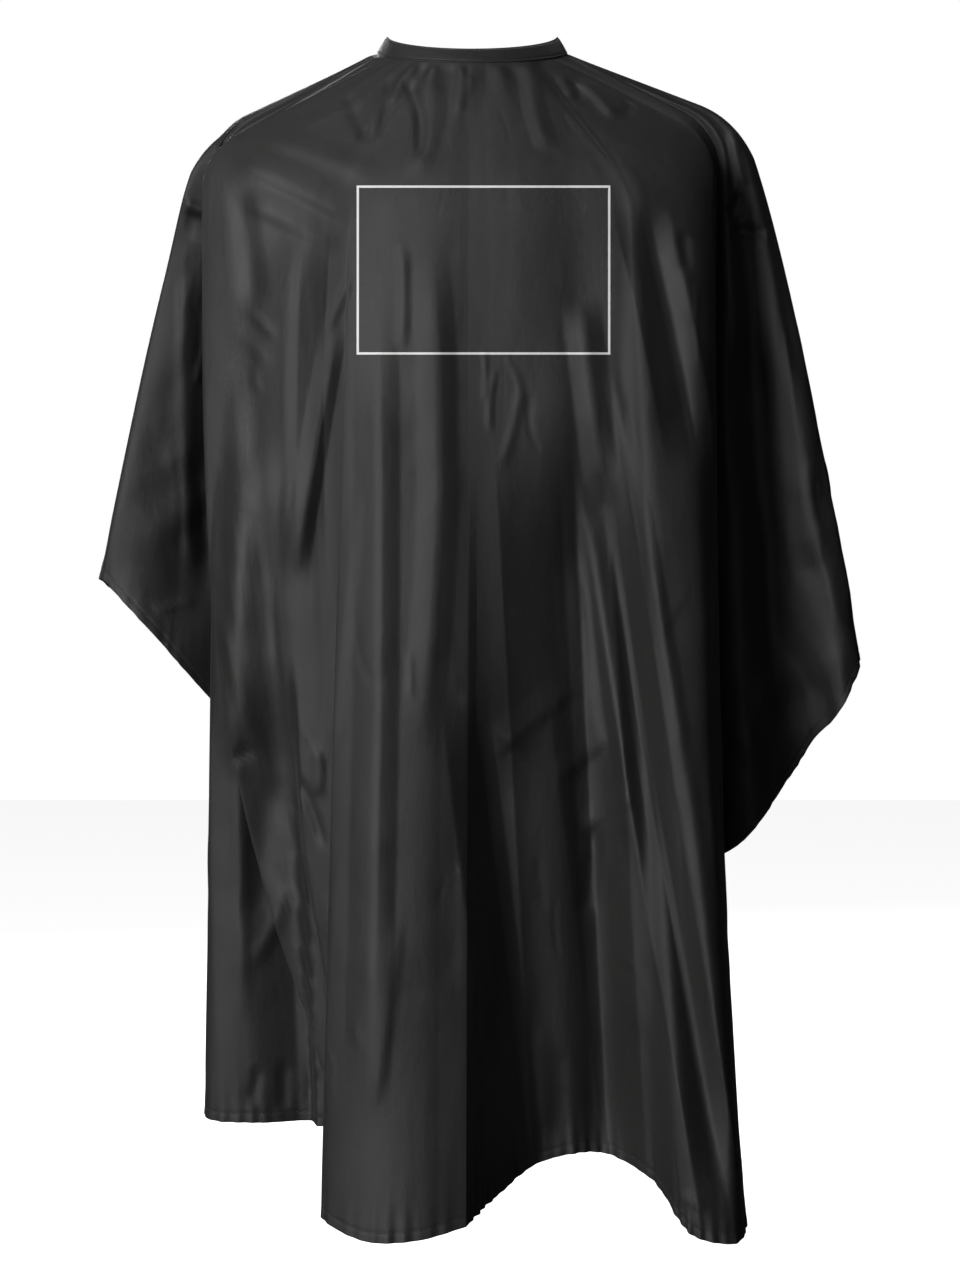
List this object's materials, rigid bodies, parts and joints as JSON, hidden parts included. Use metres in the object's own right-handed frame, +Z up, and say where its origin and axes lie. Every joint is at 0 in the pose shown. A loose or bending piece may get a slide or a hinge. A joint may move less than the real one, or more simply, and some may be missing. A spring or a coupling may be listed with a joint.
{
  "type": "barber cape",
  "caption": "Long draped salon cape of dark satin taffeta with a narrow stitched neckband, deep hanging folds, and a back slit closed by a snap tab.",
  "frame": {"origin": "centre of the neck opening, at mid height of the neckband's sides", "axes": "+Z up, out of the neck opening; -Y the front, where the long panels hang; +X to the right of someone facing the front"},
  "size_m": [0.6922, 0.3437, 1.0556],
  "materials": {
    "taffeta": "black taffeta with a satin sheen",
    "band_cloth": "the same black taffeta, folded and pressed flat",
    "interlining": "matt non-woven interlining, hidden inside the band",
    "thread": "black polyester sewing thread",
    "snap_metal": "black enamelled metal, semi-gloss"
  },
  "bodies": {
    "cape_body": {"left_front_panel": "taffeta", "right_front_panel": "taffeta", "left_side_drape": "taffeta", "right_side_drape": "taffeta", "neckband": "band_cloth", "neckband_interlining": "interlining", "neckband_stitch": "thread"},
    "left_flap": {"left_back_flap": "taffeta", "underlap": "band_cloth", "underlap_interlining": "interlining", "stud_1": "snap_metal", "stud_2": "snap_metal", "stud_3": "snap_metal", "stud_4": "snap_metal", "stud_5": "snap_metal", "stud_ring_1": "snap_metal", "stud_ring_2": "snap_metal", "stud_ring_3": "snap_metal", "stud_ring_4": "snap_metal", "stud_ring_5": "snap_metal"},
    "right_flap": {"right_back_flap": "taffeta", "overlap": "band_cloth", "overlap_interlining": "interlining", "overlap_stitch": "thread"},
    "tab": {"closure_tab": "band_cloth", "closure_tab_interlining": "interlining", "closure_tab_stitch": "thread", "snap_socket": "snap_metal", "snap_cap": "snap_metal"}
  },
  "joints": [
    {"name": "right_flap_open", "type": "hinge", "parent": "cape_body", "child": "right_flap", "pos_m": [0.0643, 0.0465, -0.0027], "axis": [0.1331, 0.2104, -0.9685], "range_deg": [0, 60]},
    {"name": "left_flap_open", "type": "hinge", "parent": "cape_body", "child": "left_flap", "pos_m": [-0.0643, 0.0465, -0.0027], "axis": [0.1331, -0.2104, 0.9685], "range_deg": [0, 60]},
    {"name": "tab_open", "type": "hinge", "parent": "right_flap", "child": "tab", "pos_m": [0, 0.0686, 0.0083], "axis": [0, 0.5547, -0.8321], "range_deg": [0, 100]}
  ],
  "couplings": [
    {"joint": "left_flap_open", "follows": "right_flap_open", "ratio": 1}
  ]
}
